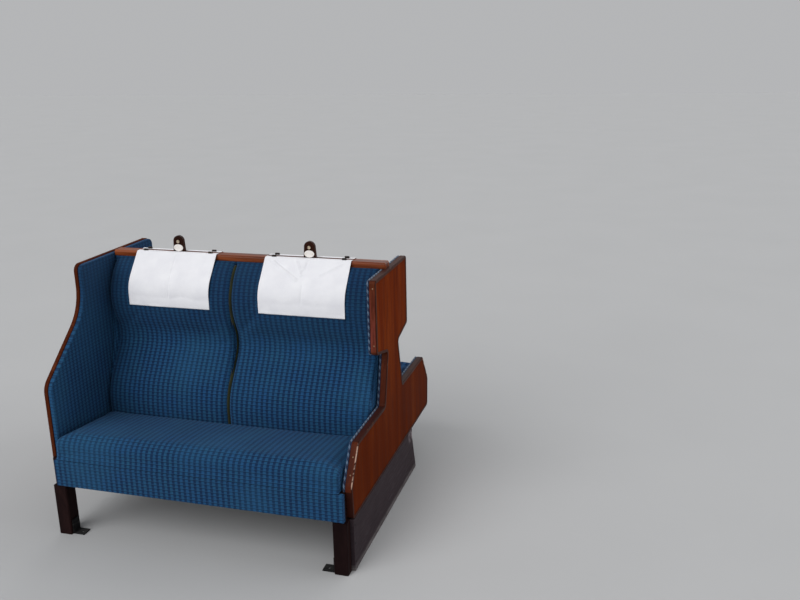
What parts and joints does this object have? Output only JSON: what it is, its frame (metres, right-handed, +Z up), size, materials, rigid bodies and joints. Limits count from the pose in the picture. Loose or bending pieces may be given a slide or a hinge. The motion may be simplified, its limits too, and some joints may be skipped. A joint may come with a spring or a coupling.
{
  "type": "back-to-back double seat unit of a railway saloon coach",
  "caption": "Back-to-back upholstered bench seat with a shaped wooden aisle end, a top rail with number holders, head cloths and lift-out cushions.",
  "frame": {"origin": "middle of the unit's box, on the floor", "axes": "+X across the coach towards the aisle, +Y along the coach from the front seat to the rear one, +Z up"},
  "size_m": [1.251, 1.16, 1.106],
  "materials": {
    "veneer": "varnished mahogany veneer",
    "dark_wood": "dark varnished hardwood",
    "frame_wood": "plain sawn softwood",
    "leg_wood": "dark stained hardwood",
    "moquette": "woven pile, blue check",
    "cotton": "plain white cotton",
    "kick_paint": "grey paint, scuffed",
    "bracket_steel": "black paint",
    "brass": "worn",
    "ivorine": "white engraved plastic, blank",
    "button_metal": "dark lacquer"
  },
  "bodies": {
    "frame": {"aisle_end_lipping": "dark_wood", "aisle_end_panel": "veneer", "back_board": "frame_wood", "bearer_aisle": "leg_wood", "bearer_centre": "leg_wood", "bearer_wall": "leg_wood", "floor_brackets": "bracket_steel", "front_aisle_lining": "moquette", "front_head_cloth_aisle": "cotton", "front_head_cloth_wall": "cotton", "front_holder_knob_aisle": "brass", "front_holder_knob_wall": "brass", "front_number_plate_aisle": "ivorine", "front_number_plate_wall": "ivorine", "front_seat_rail": "leg_wood", "front_slats": "frame_wood", "front_squab_aisle": "moquette", "front_squab_wall": "moquette", "front_valance": "moquette", "front_wall_lining": "moquette", "kick_plate": "kick_paint", "leg_front_aisle": "leg_wood", "leg_front_wall": "leg_wood", "leg_rear_aisle": "leg_wood", "leg_rear_wall": "leg_wood", "number_holder_aisle": "dark_wood", "number_holder_wall": "dark_wood", "rear_aisle_lining": "moquette", "rear_head_cloth_aisle": "cotton", "rear_head_cloth_wall": "cotton", "rear_holder_knob_aisle": "brass", "rear_holder_knob_wall": "brass", "rear_number_plate_aisle": "ivorine", "rear_number_plate_wall": "ivorine", "rear_seat_rail": "leg_wood", "rear_slats": "frame_wood", "rear_squab_aisle": "moquette", "rear_squab_wall": "moquette", "rear_valance": "moquette", "rear_wall_lining": "moquette", "top_rail": "dark_wood", "turn_buttons": "button_metal", "wall_end_board": "dark_wood"},
    "front_seat": {"front_cushion": "moquette"},
    "rear_seat": {"rear_cushion": "moquette"}
  },
  "joints": [
    {"name": "front_cushion_lift", "type": "slide", "parent": "frame", "child": "front_seat", "axis": [0, 0, 1], "range_m": [0, 0.25]},
    {"name": "rear_cushion_lift", "type": "slide", "parent": "frame", "child": "rear_seat", "axis": [0, 0, 1], "range_m": [0, 0.25]}
  ]
}
